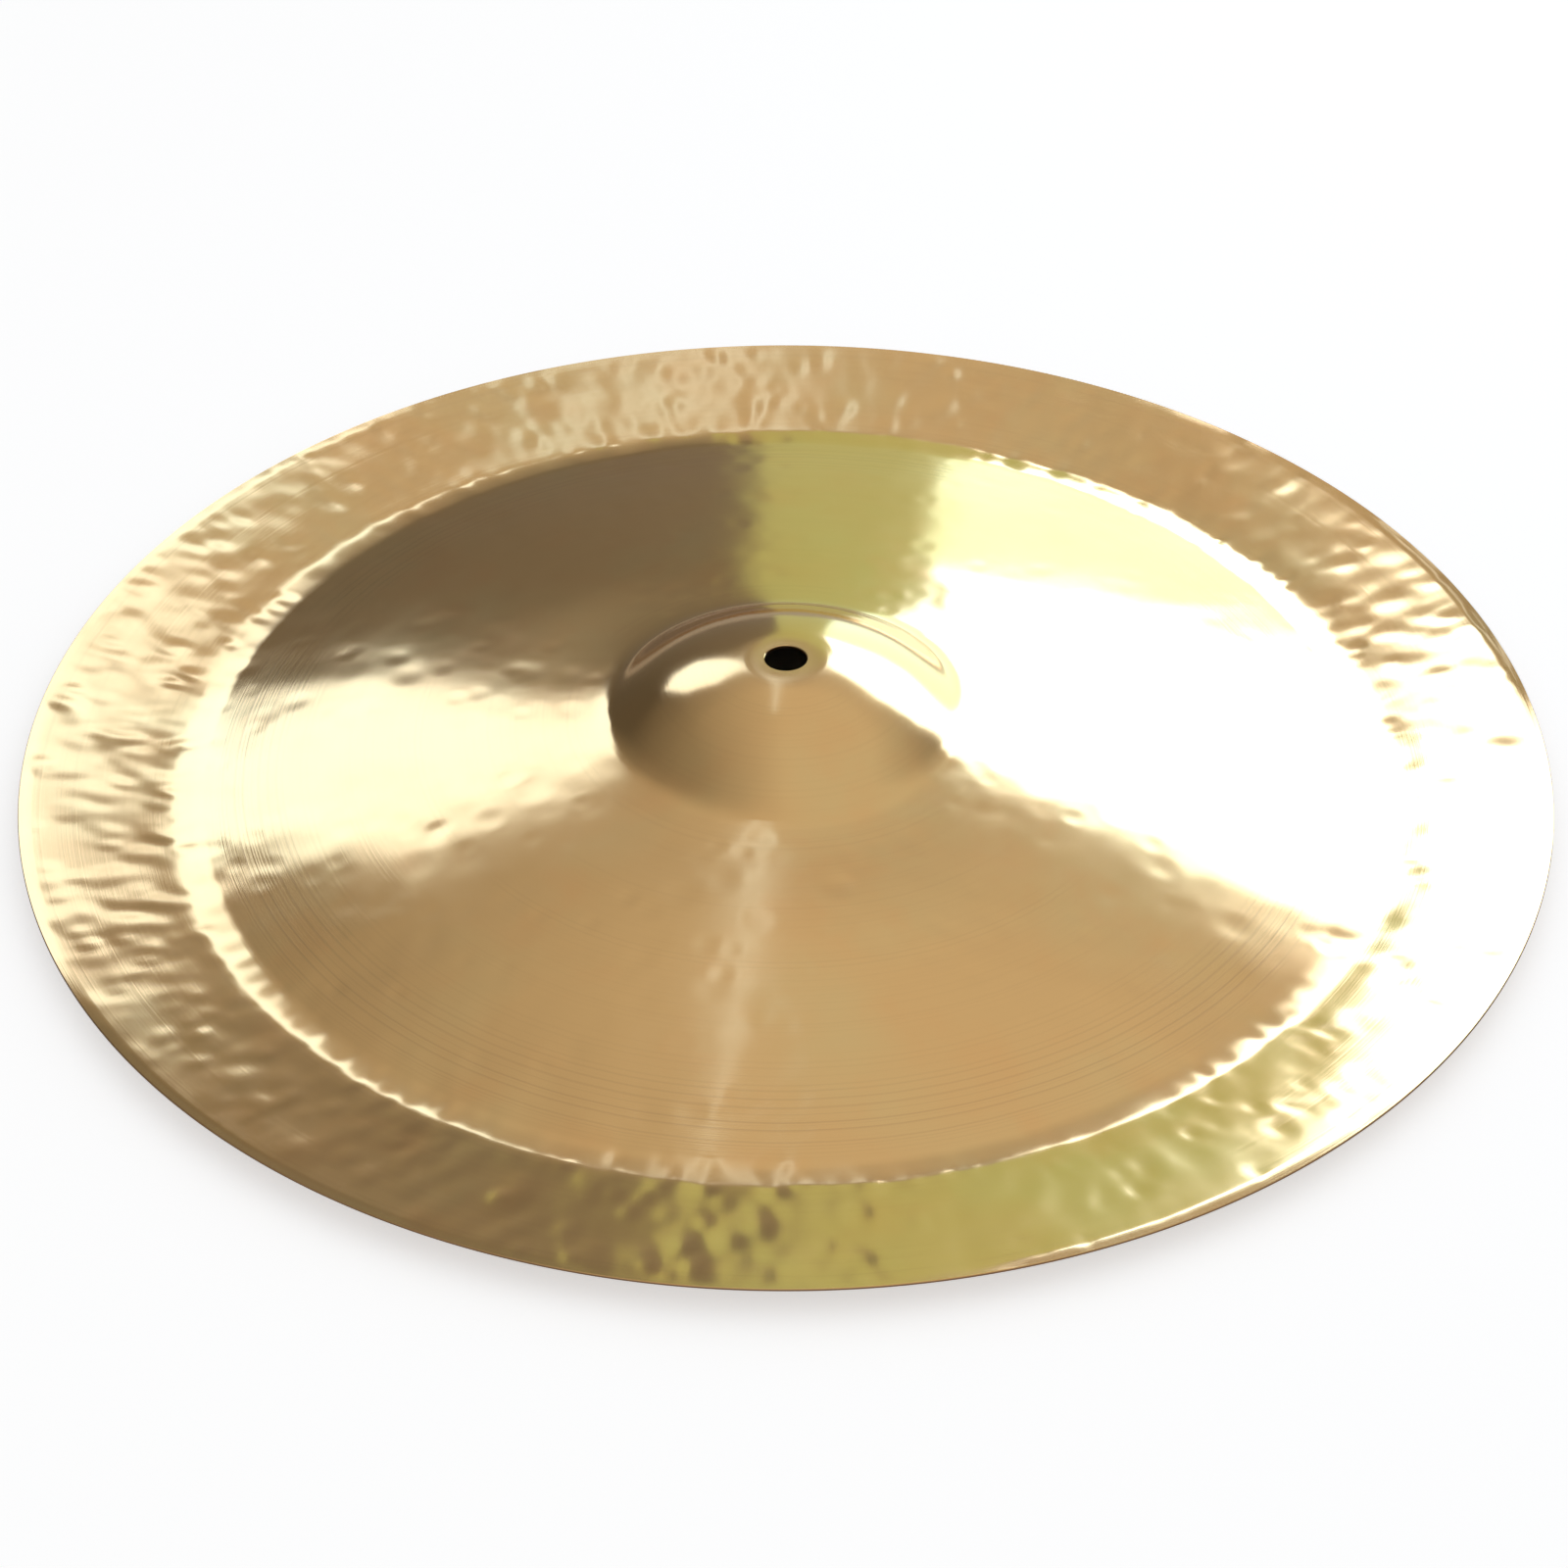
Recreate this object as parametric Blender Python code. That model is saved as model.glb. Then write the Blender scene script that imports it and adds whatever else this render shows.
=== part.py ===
"""A china cymbal: one round of cast bronze, hammered, bent up at the rim, turned and polished.

Units are metres, +Z is up, and the cymbal lies bell up on a flat surface at Z = 0.
It touches that surface along the bottom of the crease, the bend between the bow and the
upturned flange. The hole is on the Z axis. The whole instrument is a single piece of metal,
so there is one solid: a cross-section of nearly even wall, turned about the Z axis.
"""
import math

import bmesh
import bpy
from mathutils import Vector

# Overall size
DIAMETER = 0.4572          # 18 inches across the rim
HOLE_DIAMETER = 0.0127     # half an inch, for the rod of a cymbal stand

# Widths of the zones, measured from the axis outwards
LAND_WIDTH = 0.0045        # flat ring round the hole, where the felts press
BELL_DIAMETER = 0.1066     # across the foot of the bell
FLANGE_WIDTH = 0.0484      # from the middle of the crease to the rim
CREASE_FLAT = 0.0024       # flat bottom of the crease, which the cymbal lies on

# Heights of the upper face
BELL_RISE = 0.0184         # foot of the bell to the land
BOW_RISE = 0.0182          # crease to the foot of the bell
FLANGE_RISE = 0.0080       # crease to the rim

# How far the bell and the bow swell above a straight line between their ends
BELL_CROWN = 0.0031
BOW_CROWN = 0.0022

# Length taken from each side of a corner by its rounded bend
LAND_BEND = 0.0022
FOOT_BEND = 0.0055
CREASE_BEND = 0.0024

# Wall of the metal: heavier in the bell, hammered and turned thinner towards the rim
BELL_WALL = 0.0012
RIM_WALL = 0.0009
EDGE_BREAK = 0.0002        # worn corners of the rim and of the hole

# How finely the round shapes are divided
TURNED_STEPS = 96
BELL_STEPS = 4
BOW_STEPS = 4
FOOT_STEPS = 3
SMALL_BEND_STEPS = 2
SHARP_ANGLE = math.radians(30)

# Where the zones end, as distances from the axis
RIM_RADIUS = DIAMETER / 2
HOLE_RADIUS = HOLE_DIAMETER / 2
LAND_RADIUS = HOLE_RADIUS + LAND_WIDTH + LAND_BEND
FOOT_RADIUS = BELL_DIAMETER / 2
CREASE_RADIUS = RIM_RADIUS - FLANGE_WIDTH
CREASE_REACH = CREASE_FLAT / 2 + CREASE_BEND
CREASE_INNER = CREASE_RADIUS - CREASE_REACH
CREASE_OUTER = CREASE_RADIUS + CREASE_REACH

# Heights of the upper face above the surface that the cymbal lies on
CREASE_HEIGHT = RIM_WALL
RIM_HEIGHT = CREASE_HEIGHT + FLANGE_RISE
FOOT_HEIGHT = CREASE_HEIGHT + BOW_RISE
LAND_HEIGHT = FOOT_HEIGHT + BELL_RISE


class Side:
    """One stretch of the upper face, straight or an arc, from one corner to the next."""

    def __init__(self, start, end, crown, steps):
        self.start = Vector(start)
        self.end = Vector(end)
        self.crown = crown
        self.steps = steps
        self.length = (self.end - self.start).length

    def point(self, share):
        """The point at a share of the way along, from 0 at the start to 1 at the end."""
        chord = self.end - self.start
        if self.crown == 0:
            return self.start + chord * share
        half = self.length / 2
        radius = (half * half + self.crown * self.crown) / (2 * self.crown)
        half_angle = math.asin(half / radius)
        angle = half_angle * (2 * share - 1)
        along = half + radius * math.sin(angle)
        above = radius * math.cos(angle) - (radius - self.crown)
        upward = Vector((-chord.y, chord.x)) / self.length
        return self.start + chord * (along / self.length) + upward * above


def bend_points(before, after, reach, steps):
    """A rounded corner between two sides: its first point, the points between, its last."""
    reach = min(reach, 0.45 * before.length, 0.45 * after.length)
    first = before.point(1 - reach / before.length)
    corner = before.end
    last = after.point(reach / after.length)
    points = []
    for step in range(steps + 1):
        share = step / steps
        rest = 1 - share
        points.append(first * rest * rest + corner * (2 * share * rest) + last * share * share)
    return points


def upper_outline():
    """The upper face in cross-section, from the hole outwards, as (radius, height) points."""
    corners = [
        (HOLE_RADIUS, LAND_HEIGHT),
        (LAND_RADIUS, LAND_HEIGHT),
        (FOOT_RADIUS, FOOT_HEIGHT),
        (CREASE_INNER, CREASE_HEIGHT),
        (CREASE_OUTER, CREASE_HEIGHT),
        (RIM_RADIUS, RIM_HEIGHT),
    ]
    crowns = [0, BELL_CROWN, BOW_CROWN, 0, 0]
    side_steps = [1, BELL_STEPS, BOW_STEPS, 1, 1]
    sides = []
    for index, crown in enumerate(crowns):
        sides.append(Side(corners[index], corners[index + 1], crown, side_steps[index]))

    reaches = [LAND_BEND, FOOT_BEND, CREASE_BEND, CREASE_BEND]
    bend_steps = [SMALL_BEND_STEPS, FOOT_STEPS, SMALL_BEND_STEPS, SMALL_BEND_STEPS]
    points = [sides[0].start]
    for index, reach in enumerate(reaches):
        before = sides[index]
        after = sides[index + 1]
        bend = bend_points(before, after, reach, bend_steps[index])
        points += stretch(before, points[-1], bend[0])
        points += bend
    points.append(sides[-1].end)
    return points


def stretch(side, first, last):
    """Points inside one side, between the bend that it leaves and the bend that it reaches."""
    start_share = (first - side.start).length / side.length
    end_share = 1 - (side.end - last).length / side.length
    points = []
    for step in range(1, side.steps):
        share = start_share + (end_share - start_share) * step / side.steps
        points.append(side.point(share))
    return points


def wall_at(radius):
    """Thickness of the metal: even in the bell, thinning over the bow, even in the flange."""
    share = (radius - FOOT_RADIUS) / (CREASE_INNER - FOOT_RADIUS)
    share = min(max(share, 0.0), 1.0)
    return BELL_WALL + (RIM_WALL - BELL_WALL) * share


def lower_outline(upper):
    """The lower face: each point of the upper one, moved through the wall squarely to it."""
    points = []
    for index, point in enumerate(upper):
        wall = wall_at(point.x)
        before = upper[max(index - 1, 0)]
        after = upper[min(index + 1, len(upper) - 1)]
        if index in (0, len(upper) - 1):
            slope = (after - before).normalized()
            points.append(point - Vector((0, wall / slope.x)))
            continue
        into = (point - before).normalized()
        out_of = (after - point).normalized()
        middle = (into + out_of).normalized()
        square = Vector((middle.y, -middle.x))
        points.append(point + square * (wall / middle.dot(out_of)))
    return points


def broken_corner(before, corner, after):
    """A corner with its point worn off, as two points, one on each side of it."""
    towards_before = (before - corner).normalized() * EDGE_BREAK
    towards_after = (after - corner).normalized() * EDGE_BREAK
    return [corner + towards_before, corner + towards_after]


def cross_section():
    """The closed outline of the metal: outwards on top, down the rim, back underneath."""
    upper = upper_outline()
    lower = lower_outline(upper)
    loop = broken_corner(lower[0], upper[0], upper[1])
    loop += upper[1:-1]
    loop += broken_corner(upper[-2], upper[-1], lower[-1])
    loop += broken_corner(upper[-1], lower[-1], lower[-2])
    loop += lower[-2:0:-1]
    loop += broken_corner(lower[1], lower[0], upper[0])
    return loop


def turned_mesh(name, outline):
    """The outline turned right round the Z axis into one closed body."""
    build = bmesh.new()
    verts = [build.verts.new((point.x, 0, point.y)) for point in outline]
    edges = []
    for index, vert in enumerate(verts):
        edges.append(build.edges.new((vert, verts[(index + 1) % len(verts)])))
    bmesh.ops.spin(
        build,
        geom=verts + edges,
        cent=(0, 0, 0),
        axis=(0, 0, 1),
        angle=2 * math.pi,
        steps=TURNED_STEPS,
        use_merge=True,
    )
    bmesh.ops.remove_doubles(build, verts=build.verts, dist=EDGE_BREAK / 20)
    bmesh.ops.recalc_face_normals(build, faces=build.faces)
    mesh = bpy.data.meshes.new(name)
    build.to_mesh(mesh)
    build.free()
    mesh.shade_smooth()
    mesh.set_sharp_from_angle(angle=SHARP_ANGLE)
    return mesh


def bronze():
    """Polished bell bronze, a warm tan metal."""
    material = bpy.data.materials.new("polished_bronze")
    material.use_nodes = True
    shader = material.node_tree.nodes["Principled BSDF"]
    shader.inputs["Base Color"].default_value = (0.70, 0.45, 0.20, 1.0)
    shader.inputs["Metallic"].default_value = 1.0
    shader.inputs["Roughness"].default_value = 0.2
    return material


def main():
    for old in list(bpy.data.objects):
        bpy.data.objects.remove(old, do_unlink=True)
    mesh = turned_mesh("cymbal", cross_section())
    mesh.materials.append(bronze())
    cymbal = bpy.data.objects.new("cymbal", mesh)
    bpy.context.scene.collection.objects.link(cymbal)


main()
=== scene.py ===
"""The looks of a china cymbal: hammered, turned and polished bronze, lying bell up.

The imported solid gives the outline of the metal. A finer skin with the same outline stands in
for it and carries the hammer marks, the waves that bending the flange left near the crease,
and the grooves of the turning tool. Units are metres.
"""
import math

import bpy
import numpy as np
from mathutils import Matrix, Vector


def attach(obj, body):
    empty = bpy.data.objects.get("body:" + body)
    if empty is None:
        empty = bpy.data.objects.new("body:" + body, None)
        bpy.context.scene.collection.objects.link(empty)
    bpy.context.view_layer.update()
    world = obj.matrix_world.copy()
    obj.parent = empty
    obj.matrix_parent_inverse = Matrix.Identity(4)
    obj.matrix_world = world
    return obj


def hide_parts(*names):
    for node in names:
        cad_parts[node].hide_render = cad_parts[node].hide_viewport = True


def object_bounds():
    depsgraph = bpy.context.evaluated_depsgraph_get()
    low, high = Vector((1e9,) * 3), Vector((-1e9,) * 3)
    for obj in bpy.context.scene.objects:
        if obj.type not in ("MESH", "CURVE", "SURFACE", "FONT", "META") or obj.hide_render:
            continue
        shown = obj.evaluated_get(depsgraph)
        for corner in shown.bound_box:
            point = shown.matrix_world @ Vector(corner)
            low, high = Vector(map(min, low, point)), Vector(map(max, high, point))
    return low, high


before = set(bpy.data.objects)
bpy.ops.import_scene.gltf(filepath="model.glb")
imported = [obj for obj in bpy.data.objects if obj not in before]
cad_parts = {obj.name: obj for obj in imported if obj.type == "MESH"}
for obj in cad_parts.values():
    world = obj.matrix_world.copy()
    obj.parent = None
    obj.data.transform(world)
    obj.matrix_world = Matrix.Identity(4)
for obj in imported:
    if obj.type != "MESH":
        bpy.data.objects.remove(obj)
cad_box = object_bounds()

# Zones of the metal, as distances from the axis
LAND_EDGE = 0.012          # the ring round the hole is left unmarked as far as this
LAND_CLEAR = 0.020         # and the marks are at their full depth from here
BELL_FROM = 0.016
BELL_FOOT = 0.0533
RIPPLED_FROM = 0.11
GROOVED_FROM = 0.150
GROOVED_TO = 0.1755
CREASE = 0.1802

# How finely the skin is divided
ANGLES = 900
PLAIN_STEP = 0.0014
GROOVE_STEP = 0.00035
UNDERSIDE_STEP = 0.0026
FLANGE_SHARES = np.array((0.12, 0.3, 0.5, 0.75))   # where the flange is pinned straight
SHARP_ANGLE = math.radians(28)

# How the outline is picked out of the solid
FACE_TILT = 0.3            # least upward or downward part of a face's normal
ON_SPOKE = 1e-6            # how far from the X axis a corner may be
SAME_CORNER = 2e-5         # corners closer than this count as one

# Hammer marks: how many, how wide and how deep
BOW_PEENS = 900
BELL_PEENS = 60
FLANGE_PEENS = 1300
UNDER_PEENS = 420
PEEN_WIDTH = 0.0075
PEEN_DEPTH = 0.00005
BELL_PEEN_WIDTH = 0.006
BELL_PEEN_DEPTH = 0.000025
FLANGE_PEEN_WIDTH = 0.0065
FLANGE_PEEN_DEPTH = 0.00009
FLANGE_PEEN_STRETCH = 1.5  # marks on the flange are longer across it than round it
PEEN_LIP = 2.2             # how much of the edge of a mark is pushed up
PEEN_WIDTHS = (0.65, 1.5)  # narrowest and widest, as parts of the usual width
PEEN_DEPTHS = (0.25, 1.0)

# Slow swells round the whole cymbal, and short ripples where the flange was bent up.
# A wave's height is shared out by how often it comes to the turn.
SWAY_COUNTS = (2, 3, 5, 7)
SWAY_HEIGHT = 0.00088
UNDER_SWAY_HEIGHT = 0.00044
SWAY_SHARE = 0.5
SWAY_DRIFT = 3             # radians that a wave may turn in a metre outwards
RIPPLE_COUNTS = (23, 31, 37, 44, 52)
RIPPLE_HEIGHT = 0.003
RIPPLE_ON_BOW = 0.35
RIPPLE_ON_FLANGE = 0.2
RIPPLE_DRIFT = 2
WAVE_HEIGHTS = (0.4, 1.0)

# Grooves of the turning tool
GROOVE_DEPTH = 0.000002
GROOVE_PITCH = 0.0013
GROOVE_WIDTH = 0.00035
GROOVE_DEPTHS = (0.3, 1.0)
GROOVE_GAPS = (0.5, 1.5)

# How softly the marks start and stop
BOW_FADE = 0.02
FLANGE_FADE_IN = 0.012
FLANGE_FADE_OUT = 0.004
RIPPLE_FADE = 0.01
CREASE_FADE = 0.012
RIM_FADE = 0.003
RIM_CALM = 0.9
RIM_MARGIN = 0.002

# A different draw of chance for each kind of mark
BOW_SEED = 3
BELL_SEED = 4
FLANGE_SEED = 5
SWAY_SEED = 6
RIPPLE_SEED = 7
GROOVE_SEED = 8
UNDER_SEED = 11

# Camera: placed from the rim's centre, in rim radii and degrees
CAMERA_DISTANCE = 4.5
CAMERA_ELEVATION = 37.234
CAMERA_PITCH = 38.066
CAMERA_TURN = 0.039
CAMERA_LENS = 78.14
SENSOR_WIDTH = 36.0

# Light: distance of the cards behind the axis, and levels of the light all round
WALL = 0.914
OVERHEAD = 0.74
LOW_DOWN = 0.25
CLIMB_RATE = 2.4           # how fast the light grows from low down to overhead
CLIMB_START = 1.0
LEFT_RATE = 1.8            # how fast it falls off to the left
LEFT_LOSS = 0.5
COOL = (0.62, 0.82, 1.25)
LEAFY = (0.62, 0.90, 0.95)
MOSSY = (0.80, 1.0, 0.62)

# Floor: its half width, how far it is below the cymbal, and what the camera sees added to it
FLOOR_HALF = 6.0
FLOOR_DROP = 0.0004
FLOOR_GREY = 0.86
FLOOR_ROUGHNESS = 0.9
FLOOR_LIFT = 0.58
LIFT_RATE = 15.0           # painted shadow: the lift starts under the rim, so that the floor under the cymbal and in the hole stays dark
LIFT_START = 2.3

# Colours of the bronze
BRONZE = (0.76, 0.47, 0.19, 1.0)
STRAW = (0.74, 0.50, 0.21, 1.0)
EMBER = (0.78, 0.44, 0.17, 1.0)
CUT_METAL = (0.30, 0.15, 0.10, 1.0)
RING_BROWN = (0.42, 0.25, 0.12, 1.0)
CUT_SHARE = 0.75
CUT_ROUGHNESS = 0.3
CUT_SPREAD = 0.2

# Rings of the turning tool in the material: how many to the metre, and how strong
FINE_RINGS = 2600
CLOSE_RINGS = 1100
BROAD_RINGS = 70
CLOSE_WEIGHT = 1.4
PLAIN_LEVEL = 0.45
DARK_FROM = 0.52
DARK_RATE = 5.0
BROAD_WEIGHT = 0.5
RING_BUMP = 0.25
RING_DEPTH = 0.00003
ANISOTROPY = 0.4

# Patches of other colour: how many to the metre, where they start and how sharply
CLOUDS = 14
CLOUD_FROM = 0.47
CLOUD_RATE = 5.0
PATCHES = 38
PATCH_FROM = 0.52
PATCH_RATE = 4.0
PATCH_SHARE = 0.6
SMEARS = 90

# Places of the finishes in the skin's list of materials
UPPER_FINISH = 0
UNDER_FINISH = 1
CUT_FINISH = 2


def spoke(node, upper):
    """The outline of one face of the solid, as radii and heights from the hole to the rim."""
    mesh = node.data
    sign = 1 if upper else -1
    chosen = set()
    for face in mesh.polygons:
        if face.normal.z * sign > FACE_TILT:
            chosen.update(face.vertices)
    points = set()
    for index in chosen:
        point = mesh.vertices[index].co
        if point.x > 0 and abs(point.y) < ON_SPOKE:
            points.add((round(point.x, 6), round(point.z, 6)))
    ordered = np.array(sorted(points))
    keep = np.concatenate(([True], np.diff(ordered[:, 0]) > SAME_CORNER))
    return ordered[keep, 0], ordered[keep, 1]


def straight_flange(radii, heights):
    """The outline without its worn corners, with points added along the straight flange."""
    start = radii[-3]
    end = radii[-2]
    added = start + (end - start) * FLANGE_SHARES
    along = np.interp(added, radii, heights)
    inner = np.concatenate([radii[1:-2], added, radii[-2:-1]])
    return inner, np.concatenate([heights[1:-2], along, heights[-2:-1]])


def face_heights(radii, heights, rings):
    """Heights of the rings of vertices on one face, its two worn corners included."""
    found = curve_through(*straight_flange(radii, heights), rings)
    found[0] = heights[0]
    found[-1] = heights[-1]
    return found


def curve_through(radii, heights, at):
    """A smooth curve through the outline's points, with no step in its curvature."""
    steps = np.diff(radii)
    slopes = np.diff(heights) / steps
    count = len(radii)
    system = np.eye(count)
    change = np.zeros(count)
    for knot in range(1, count - 1):
        system[knot, knot - 1] = steps[knot - 1]
        system[knot, knot] = 2 * (steps[knot - 1] + steps[knot])
        system[knot, knot + 1] = steps[knot]
        change[knot] = 6 * (slopes[knot] - slopes[knot - 1])
    bends = np.linalg.solve(system, change)
    index = np.clip(np.searchsorted(radii, at) - 1, 0, count - 2)
    step = steps[index]
    after = (at - radii[index]) / step
    before = 1 - after
    swell = (before ** 3 - before) * bends[index] + (after ** 3 - after) * bends[index + 1]
    return before * heights[index] + after * heights[index + 1] + swell * step ** 2 / 6


def ramp(value, start, end):
    """0 before start, 1 after end and smooth between."""
    share = np.clip((value - start) / (end - start), 0, 1)
    return share * share * (3 - 2 * share)


def stations(radii, plain_step, groove_step):
    """Radii of the rings of vertices: closer where the tool left its deep grooves."""
    first = radii[0]
    last = radii[-1]
    rings = [first, radii[1]]
    while rings[-1] < radii[-2]:
        here = rings[-1]
        grooved = GROOVED_FROM < here < GROOVED_TO
        rings.append(here + (groove_step if grooved else plain_step))
    rings[-1] = radii[-2]
    rings.append(last)
    return np.array(rings)


def peen(rings, angles, seed, count, zone, width, depth, stretch=1.0):
    """Dents of a round-faced hammer scattered over a zone, each a shallow bowl with a lip."""
    rng = np.random.default_rng(seed)
    field = np.zeros((len(rings), len(angles)))
    inner, outer = zone
    centres = np.sqrt(rng.uniform(inner ** 2, outer ** 2, count))
    turns = rng.uniform(0, 2 * math.pi, count)
    widths = width * rng.uniform(*PEEN_WIDTHS, count)
    depths = depth * rng.uniform(*PEEN_DEPTHS, count)
    step = 2 * math.pi / len(angles)
    for centre, turn, wide, deep in zip(centres, turns, widths, depths):
        reach = wide * stretch
        low = np.searchsorted(rings, centre - reach)
        high = np.searchsorted(rings, centre + reach)
        span = int(wide / max(centre, LAND_CLEAR) / step) + 1
        middle = int(turn / step)
        columns = np.arange(middle - span, middle + span + 1)
        along = (columns * step - turn) * centre / wide
        across = (rings[low:high] - centre) / reach
        away = across[:, None] ** 2 + along[None, :] ** 2
        bowl = np.where(away < 1, (1 - away) ** 2 * (1 - PEEN_LIP * away), 0)
        field[low:high, columns % len(angles)] -= deep * bowl
    return field


def waves(rings, angles, seed, counts, amount, drift):
    """Gentle swells that run round the cymbal, each turning a little as it goes outwards."""
    rng = np.random.default_rng(seed)
    field = np.zeros((len(rings), len(angles)))
    for count in counts:
        phase = rng.uniform(0, 2 * math.pi)
        twist = rng.uniform(-drift, drift)
        height = amount * rng.uniform(*WAVE_HEIGHTS) / count
        lean = rings[:, None] * twist
        field += height * np.sin(count * (angles[None, :] + lean) + phase)
    return field


def groove(rings, seed):
    """Depth of the tool's grooves, ring by ring."""
    rng = np.random.default_rng(seed)
    field = np.zeros(len(rings))
    turn = GROOVED_FROM
    while turn < GROOVED_TO:
        strength = rng.uniform(*GROOVE_DEPTHS)
        field -= GROOVE_DEPTH * strength * np.exp(-((rings - turn) / GROOVE_WIDTH) ** 2)
        turn += GROOVE_PITCH * rng.uniform(*GROOVE_GAPS)
    return field


def upper_marks(rings, angles):
    """Everything that hammering and turning left on the upper face, as heights."""
    rim = rings[-1]
    on_bow = ramp(rings, BELL_FOOT, BELL_FOOT + BOW_FADE)
    on_flange = ramp(rings, CREASE - FLANGE_FADE_IN, CREASE + FLANGE_FADE_OUT)
    near_crease = ramp(rings, RIPPLED_FROM, CREASE - RIPPLE_FADE)
    marks = peen(
        rings, angles, BOW_SEED, BOW_PEENS, (BELL_FOOT, CREASE), PEEN_WIDTH, PEEN_DEPTH,
    )
    marks += peen(
        rings, angles, BELL_SEED, BELL_PEENS, (BELL_FROM, BELL_FOOT),
        BELL_PEEN_WIDTH, BELL_PEEN_DEPTH,
    )
    marks += peen(
        rings, angles, FLANGE_SEED, FLANGE_PEENS, (CREASE - FLANGE_FADE_OUT, rim - RIM_MARGIN),
        FLANGE_PEEN_WIDTH, FLANGE_PEEN_DEPTH, FLANGE_PEEN_STRETCH,
    )
    sway = waves(rings, angles, SWAY_SEED, SWAY_COUNTS, SWAY_HEIGHT, SWAY_DRIFT)
    ripple = waves(rings, angles, RIPPLE_SEED, RIPPLE_COUNTS, RIPPLE_HEIGHT, RIPPLE_DRIFT)
    marks += sway * ((on_bow + on_flange) * SWAY_SHARE)[:, None]
    marks += ripple * (near_crease * RIPPLE_ON_BOW - on_flange * RIPPLE_ON_FLANGE)[:, None]
    marks += groove(rings, GROOVE_SEED)[:, None]
    level = ramp(rings, LAND_EDGE, LAND_CLEAR) * (1 - RIM_CALM * ramp(rings, rim - RIM_FADE, rim))
    return marks * level[:, None]


def under_marks(rings, angles):
    """The underside is hammered too, but the flat bottom of the crease is worn smooth."""
    rim = rings[-1]
    marks = peen(
        rings, angles, UNDER_SEED, UNDER_PEENS, (LAND_CLEAR, rim - RIM_MARGIN),
        PEEN_WIDTH, PEEN_DEPTH,
    )
    marks += waves(rings, angles, SWAY_SEED, SWAY_COUNTS, UNDER_SWAY_HEIGHT, SWAY_DRIFT)
    clear = np.clip(np.abs(rings - CREASE) / CREASE_FADE, 0, 1) ** 2
    level = clear * ramp(rings, LAND_EDGE, LAND_CLEAR) * (1 - ramp(rings, rim - RIM_FADE, rim))
    return marks * level[:, None]


def grid_points(rings, heights, angles):
    """Vertex places for rings of vertices with a height for each ring and angle."""
    across = rings[:, None] * np.cos(angles)[None, :]
    along = rings[:, None] * np.sin(angles)[None, :]
    return np.stack([across, along, heights], axis=-1).reshape(-1, 3)


def quads(first, second, count):
    """Faces between two rings of vertices that start at those indices."""
    here = np.arange(count)
    ahead = (here + 1) % count
    return np.stack([first + here, second + here, second + ahead, first + ahead], axis=-1)


def skin(node):
    """The whole surface of the cymbal as one closed mesh, with a material for each region."""
    angles = np.arange(ANGLES) * (2 * math.pi / ANGLES)
    radii, heights = spoke(node, True)
    top = stations(radii, PLAIN_STEP, GROOVE_STEP)
    top_heights = face_heights(radii, heights, top)[:, None] + upper_marks(top, angles)
    radii, heights = spoke(node, False)
    under = stations(radii, UNDERSIDE_STEP, UNDERSIDE_STEP)
    under_heights = face_heights(radii, heights, under)[:, None] + under_marks(under, angles)
    points = np.concatenate([
        grid_points(top, top_heights, angles),
        grid_points(under, under_heights, angles),
    ])
    faces = []
    finish = []
    for ring in range(len(top) - 1):
        faces.append(quads(ring * ANGLES, (ring + 1) * ANGLES, ANGLES))
        finish.append(np.full(ANGLES, UPPER_FINISH))
    offset = len(top) * ANGLES
    for ring in range(len(under) - 1):
        start = offset + ring * ANGLES
        faces.append(quads(start + ANGLES, start, ANGLES))
        finish.append(np.full(ANGLES, UNDER_FINISH))
    faces.append(quads((len(top) - 1) * ANGLES, offset + (len(under) - 1) * ANGLES, ANGLES))
    faces.append(quads(offset, 0, ANGLES))
    finish += [np.full(ANGLES, CUT_FINISH), np.full(ANGLES, CUT_FINISH)]
    mesh = bpy.data.meshes.new("hammered_skin")
    mesh.from_pydata(points.tolist(), [], np.concatenate(faces).tolist())
    mesh.update()
    mesh.shade_smooth()
    mesh.set_sharp_from_angle(angle=SHARP_ANGLE)
    mesh.polygons.foreach_set("material_index", np.concatenate(finish).astype(np.int32))
    piece = bpy.data.objects.new("hammered_bronze", mesh)
    bpy.context.scene.collection.objects.link(piece)
    return piece


class Wires:
    """Short ways to add and join nodes of one tree."""

    def __init__(self, tree):
        self.tree = tree

    def node(self, kind, **settings):
        made = self.tree.nodes.new(kind)
        for name, value in settings.items():
            setattr(made, name, value)
        return made

    def join(self, source, target):
        self.tree.links.new(source, target)

    def feed(self, socket, value):
        """Sets a socket to a number, or joins another socket to it."""
        if isinstance(value, bpy.types.NodeSocket):
            self.join(value, socket)
        else:
            socket.default_value = value

    def math(self, operation, first, second=0.0, third=0.0, clamp=False):
        made = self.node("ShaderNodeMath", operation=operation, use_clamp=clamp)
        for socket, value in zip(made.inputs, (first, second, third)):
            self.feed(socket, value)
        return made.outputs[0]

    def mix(self, share, first, second):
        """A colour between two others."""
        made = self.node("ShaderNodeMix", data_type="RGBA")
        self.feed(made.inputs["Factor"], share)
        self.feed(made.inputs["A"], first)
        self.feed(made.inputs["B"], second)
        return made.outputs["Result"]

    def noise(self, scale, detail, dimensions="3D", vector=None, place=None):
        made = self.node("ShaderNodeTexNoise", noise_dimensions=dimensions)
        made.inputs["Scale"].default_value = scale
        made.inputs["Detail"].default_value = detail
        if vector is not None:
            self.join(vector, made.inputs["Vector"])
        if place is not None:
            self.join(place, made.inputs["W"])
        return made.outputs[0]


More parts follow.
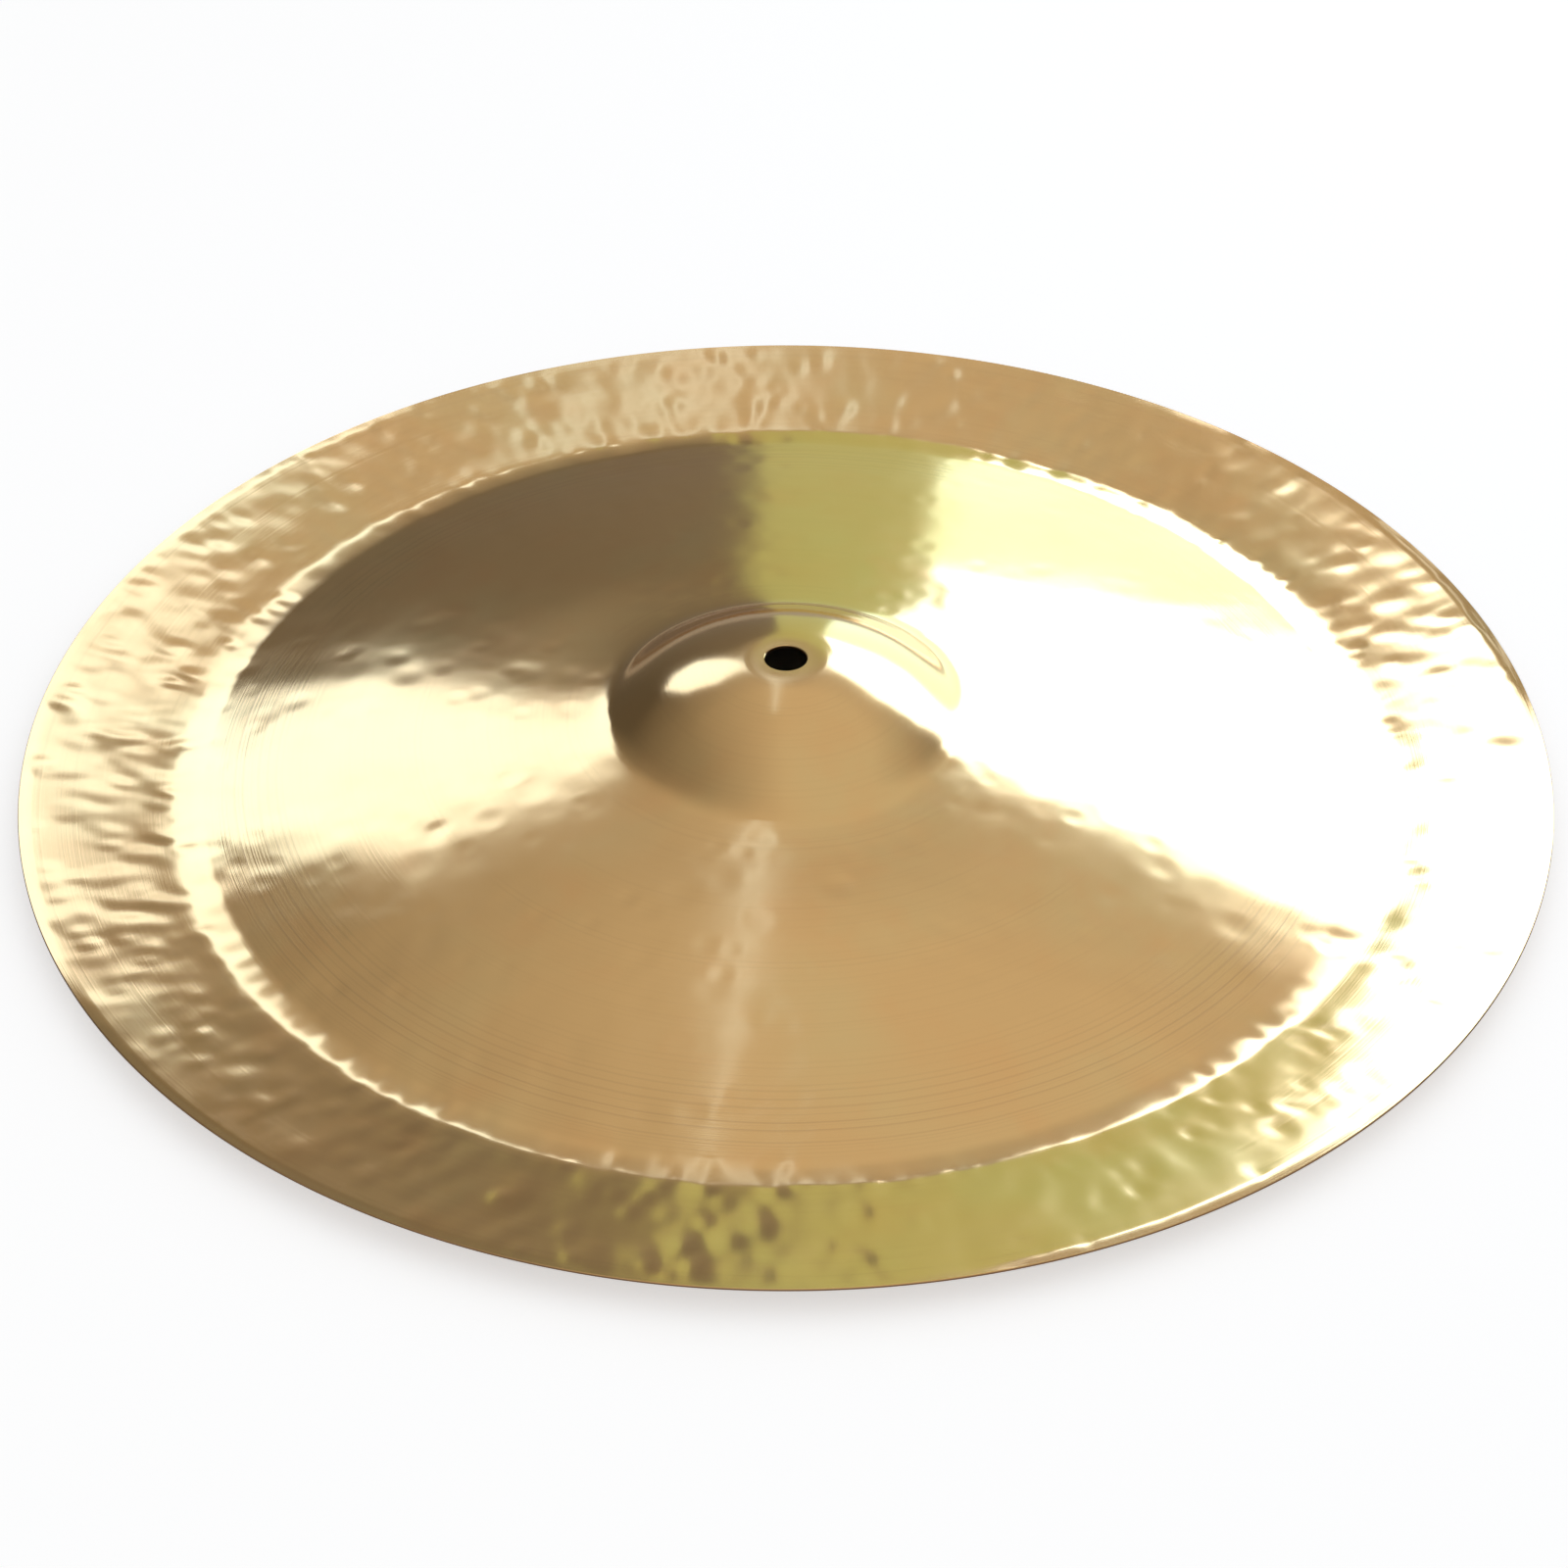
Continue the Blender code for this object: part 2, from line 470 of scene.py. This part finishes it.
def new_group(name, inputs, outputs):
    """An empty node group with named sockets, and its two end nodes."""
    group = bpy.data.node_groups.new(name, "ShaderNodeTree")
    for label, kind, value in inputs:
        socket = group.interface.new_socket(label, in_out="INPUT", socket_type=kind)
        socket.default_value = value
    for label, kind in outputs:
        group.interface.new_socket(label, in_out="OUTPUT", socket_type=kind)
    wires = Wires(group)
    start = wires.node("NodeGroupInput")
    end = wires.node("NodeGroupOutput")
    return group, wires, start, end


def turning_group():
    """Fine rings left by the turning tool, as a height and as a mask of the dark ones."""
    group, wires, start, end = new_group(
        "turning_rings",
        [("Strength", "NodeSocketFloat", 1.0)],
        [("Height", "NodeSocketFloat"), ("Dark Rings", "NodeSocketFloat")],
    )
    place = wires.node("ShaderNodeTexCoord").outputs["Object"]
    flat = wires.node("ShaderNodeVectorMath", operation="MULTIPLY")
    wires.join(place, flat.inputs[0])
    flat.inputs[1].default_value = (1, 1, 0)
    radius_node = wires.node("ShaderNodeVectorMath", operation="LENGTH")
    wires.join(flat.outputs[0], radius_node.inputs[0])
    radius = radius_node.outputs["Value"]
    fine = wires.noise(FINE_RINGS, 2, "1D", place=radius)
    close = wires.noise(CLOSE_RINGS, 2, "1D", place=radius)
    broad = wires.noise(BROAD_RINGS, 1, "1D", place=radius)
    band_middle = (GROOVED_FROM + GROOVED_TO) / 2
    band_half = (GROOVED_TO - GROOVED_FROM) / 2
    away = wires.math("ABSOLUTE", wires.math("SUBTRACT", radius, band_middle))
    band = wires.math("SUBTRACT", 1.0, wires.math("DIVIDE", away, band_half), clamp=True)
    lines = wires.math("ADD", fine, wires.math("MULTIPLY", close, CLOSE_WEIGHT))
    lines = wires.math("MULTIPLY", lines, wires.math("ADD", band, PLAIN_LEVEL))
    wires.join(wires.math("MULTIPLY", lines, start.outputs["Strength"]), end.inputs["Height"])
    dark = wires.math("SUBTRACT", close, DARK_FROM)
    dark = wires.math("MULTIPLY", dark, DARK_RATE, clamp=True)
    reach = wires.math("ADD", band, wires.math("MULTIPLY", broad, BROAD_WEIGHT))
    dark = wires.math("MULTIPLY", dark, reach)
    wires.join(dark, end.inputs["Dark Rings"])
    return group


def patina_group():
    """Slow changes of the metal's colour, and smears that dull it a little."""
    group, wires, start, end = new_group(
        "bronze_patina",
        [
            ("Bronze", "NodeSocketColor", BRONZE),
            ("Straw", "NodeSocketColor", STRAW),
            ("Ember", "NodeSocketColor", EMBER),
        ],
        [("Colour", "NodeSocketColor"), ("Smears", "NodeSocketFloat")],
    )
    place = wires.node("ShaderNodeTexCoord").outputs["Object"]
    clouds = wires.math("SUBTRACT", wires.noise(CLOUDS, 3, vector=place), CLOUD_FROM)
    patches = wires.math("SUBTRACT", wires.noise(PATCHES, 4, vector=place), PATCH_FROM)
    straw = wires.math("MULTIPLY", clouds, CLOUD_RATE, clamp=True)
    ember = wires.math("MULTIPLY", patches, PATCH_RATE, clamp=True)
    colour = wires.mix(straw, start.outputs["Bronze"], start.outputs["Straw"])
    ember = wires.math("MULTIPLY", ember, PATCH_SHARE)
    colour = wires.mix(ember, colour, start.outputs["Ember"])
    wires.join(colour, end.inputs["Colour"])
    wires.join(wires.noise(SMEARS, 5, vector=place), end.inputs["Smears"])
    return group


TURNING = turning_group()
PATINA = patina_group()


def bronze_material(name, ring_strength, roughness, spread, darkness):
    """Turned bronze: the shine runs out along the radius, square to the tool's rings."""
    material = bpy.data.materials.new(name)
    material.use_nodes = True
    wires = Wires(material.node_tree)
    shader = material.node_tree.nodes["Principled BSDF"]
    rings = wires.node("ShaderNodeGroup", node_tree=TURNING)
    rings.inputs["Strength"].default_value = ring_strength
    patina = wires.node("ShaderNodeGroup", node_tree=PATINA)
    dark = wires.math("MULTIPLY", rings.outputs["Dark Rings"], darkness)
    colour = wires.mix(dark, patina.outputs["Colour"], RING_BROWN)
    wires.join(colour, shader.inputs["Base Color"])
    dull = wires.math("MULTIPLY_ADD", patina.outputs["Smears"], spread, roughness - spread / 2)
    wires.join(dull, shader.inputs["Roughness"])
    bump = wires.node("ShaderNodeBump")
    bump.inputs["Strength"].default_value = RING_BUMP
    bump.inputs["Distance"].default_value = RING_DEPTH
    wires.join(rings.outputs["Height"], bump.inputs["Height"])
    wires.join(bump.outputs["Normal"], shader.inputs["Normal"])
    tangent = wires.node("ShaderNodeTangent", direction_type="RADIAL", axis="Z")
    wires.join(tangent.outputs["Tangent"], shader.inputs["Tangent"])
    shader.inputs["Metallic"].default_value = 1.0
    shader.inputs["Anisotropic"].default_value = ANISOTROPY
    return material


def edge_material():
    """The cut edge of the rim and the wall of the hole: dull, darker and a little coppery."""
    material = bpy.data.materials.new("cut_edge")
    material.use_nodes = True
    wires = Wires(material.node_tree)
    shader = material.node_tree.nodes["Principled BSDF"]
    patina = wires.node("ShaderNodeGroup", node_tree=PATINA)
    colour = wires.mix(CUT_SHARE, patina.outputs["Colour"], CUT_METAL)
    wires.join(colour, shader.inputs["Base Color"])
    dull = wires.math("MULTIPLY_ADD", patina.outputs["Smears"], CUT_SPREAD, CUT_ROUGHNESS)
    wires.join(dull, shader.inputs["Roughness"])
    shader.inputs["Metallic"].default_value = 1.0
    return material


def floor():
    """A plain pale floor that keeps the cymbal's shadow, with a painted shadow under the cymbal
    where the camera's lift is left out.
    """
    mesh = bpy.data.meshes.new("floor")
    half = FLOOR_HALF
    corners = [(-half, -half, 0), (half, -half, 0), (half, half, 0), (-half, half, 0)]
    mesh.from_pydata(corners, [], [(0, 1, 2, 3)])
    piece = bpy.data.objects.new("floor", mesh)
    piece.location.z = -FLOOR_DROP
    bpy.context.scene.collection.objects.link(piece)
    material = bpy.data.materials.new("pale_floor")
    material.use_nodes = True
    wires = Wires(material.node_tree)
    shader = material.node_tree.nodes["Principled BSDF"]
    shader.inputs["Base Color"].default_value = (FLOOR_GREY, FLOOR_GREY, FLOOR_GREY, 1.0)
    shader.inputs["Roughness"].default_value = FLOOR_ROUGHNESS
    camera_ray = wires.node("ShaderNodeLightPath").outputs["Is Camera Ray"]
    place = wires.node("ShaderNodeTexCoord").outputs["Object"]
    far_out = wires.node("ShaderNodeVectorMath", operation="LENGTH")
    wires.join(place, far_out.inputs[0])
    distance = far_out.outputs["Value"]
    # Painted shadow: the lift fades out from under the rim towards the axis, so the floor under
    # the cymbal and in the hole is painted darker
    outside_painted_shadow = wires.math("MULTIPLY_ADD", distance, LIFT_RATE, -LIFT_START, clamp=True)
    lift = wires.math("MULTIPLY", wires.math("MULTIPLY", camera_ray, outside_painted_shadow), FLOOR_LIFT)
    shader.inputs["Emission Color"].default_value = (1.0, 1.0, 1.0, 1.0)
    wires.join(lift, shader.inputs["Emission Strength"])
    mesh.materials.append(material)


def card(name, corners, level, tint):
    """A flat glowing card behind the cymbal, with its corners in wall distances from the axis."""
    points = [(across * WALL, WALL, up * WALL) for across, up in corners]
    mesh = bpy.data.meshes.new(name)
    mesh.from_pydata(points, [], [tuple(range(len(points)))])
    piece = bpy.data.objects.new(name, mesh)
    piece.visible_camera = False
    piece.visible_diffuse = False
    bpy.context.scene.collection.objects.link(piece)
    material = bpy.data.materials.new(name)
    material.use_nodes = True
    wires = Wires(material.node_tree)
    material.node_tree.nodes.remove(material.node_tree.nodes["Principled BSDF"])
    glow = wires.node("ShaderNodeEmission")
    glow.inputs["Color"].default_value = (*tint, 1.0)
    glow.inputs["Strength"].default_value = level
    wires.join(glow.outputs[0], material.node_tree.nodes["Material Output"].inputs["Surface"])
    mesh.materials.append(material)


def cards():
    """The bright cards of the studio: two wide ones to the right, others to the left."""
    wide = [
        (0.15, 0.40), (1.55, 0.40), (1.45, 1.15), (0.84, 1.22),
        (0.28, 0.92), (0.10, 0.80), (0.20, 0.66),
    ]
    low = [(0.13, 0.0), (1.55, 0.0), (1.55, 0.40), (0.15, 0.40)]
    small = [
        (-0.80, 0.66), (-0.62, 0.52), (-0.46, 0.52), (-0.25, 0.75),
        (-0.10, 0.81), (-0.16, 0.90), (-0.58, 1.12), (-0.80, 0.98),
    ]
    strip = [(-0.03, 0.0), (0.13, 0.0), (0.15, 0.40), (0.20, 0.66), (0.10, 0.76), (-0.03, 0.74)]
    thin = [(-0.03, 0.80), (0.0, 0.80), (-0.19, 2.9), (-0.24, 2.9)]
    card("wide_card", wide, 6.0, COOL)
    card("low_card", low, 2.6, LEAFY)
    card("small_card", small, 3.0, COOL)
    card("thin_card", thin, 2.0, COOL)
    card("dim_strip", strip, 0.75, MOSSY)


def studio():
    """The dim light all round: brighter overhead than low down."""
    world = bpy.data.worlds.new("studio")
    bpy.context.scene.world = world
    world.use_nodes = True
    wires = Wires(world.node_tree)
    background = world.node_tree.nodes["Background"]
    direction = wires.node("ShaderNodeTexCoord").outputs["Generated"]
    split = wires.node("ShaderNodeSeparateXYZ")
    wires.join(direction, split.inputs[0])
    height = split.outputs["Z"]
    climb = wires.math("MULTIPLY_ADD", height, CLIMB_RATE, -CLIMB_START, clamp=True)
    level = wires.math("MULTIPLY_ADD", climb, OVERHEAD - LOW_DOWN, LOW_DOWN)
    leftwards = wires.math("MULTIPLY", split.outputs["X"], -LEFT_RATE, clamp=True)
    kept = wires.math("MULTIPLY_ADD", leftwards, -LEFT_LOSS, 1.0)
    level = wires.math("MULTIPLY", level, kept)
    lit = wires.node("ShaderNodeCombineColor")
    for socket in lit.inputs:
        wires.feed(socket, level)
    camera_ray = wires.node("ShaderNodeLightPath").outputs["Is Camera Ray"]
    seen = wires.mix(camera_ray, lit.outputs[0], (1, 1, 1, 1))
    wires.join(seen, background.inputs["Color"])


def camera():
    """The photograph's view: from in front, looking down on the bell."""
    rim = cad_box[1][0]
    rim_height = float(spoke(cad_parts["cymbal"], True)[1][-2])
    elevation = math.radians(CAMERA_ELEVATION)
    reach = CAMERA_DISTANCE * rim
    lens = bpy.data.cameras.new("camera")
    lens.lens = CAMERA_LENS
    lens.sensor_width = SENSOR_WIDTH
    piece = bpy.data.objects.new("camera", lens)
    piece.location = (0, -reach * math.cos(elevation), rim_height + reach * math.sin(elevation))
    piece.rotation_euler = (math.radians(90 - CAMERA_PITCH), 0, math.radians(CAMERA_TURN))
    bpy.context.scene.collection.objects.link(piece)
    bpy.context.scene.camera = piece


bpy.context.scene.view_settings.view_transform = "Standard"
camera()
studio()
cards()
floor()

cymbal = skin(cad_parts["cymbal"])
polished = bronze_material(
    "polished_face", ring_strength=1.0, roughness=0.12, spread=0.06, darkness=0.25,
)
turned = bronze_material(
    "turned_underside", ring_strength=1.6, roughness=0.34, spread=0.12, darkness=0.7,
)
cymbal.data.materials.append(polished)
cymbal.data.materials.append(turned)
cymbal.data.materials.append(edge_material())
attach(cymbal, "root")
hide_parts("cymbal")
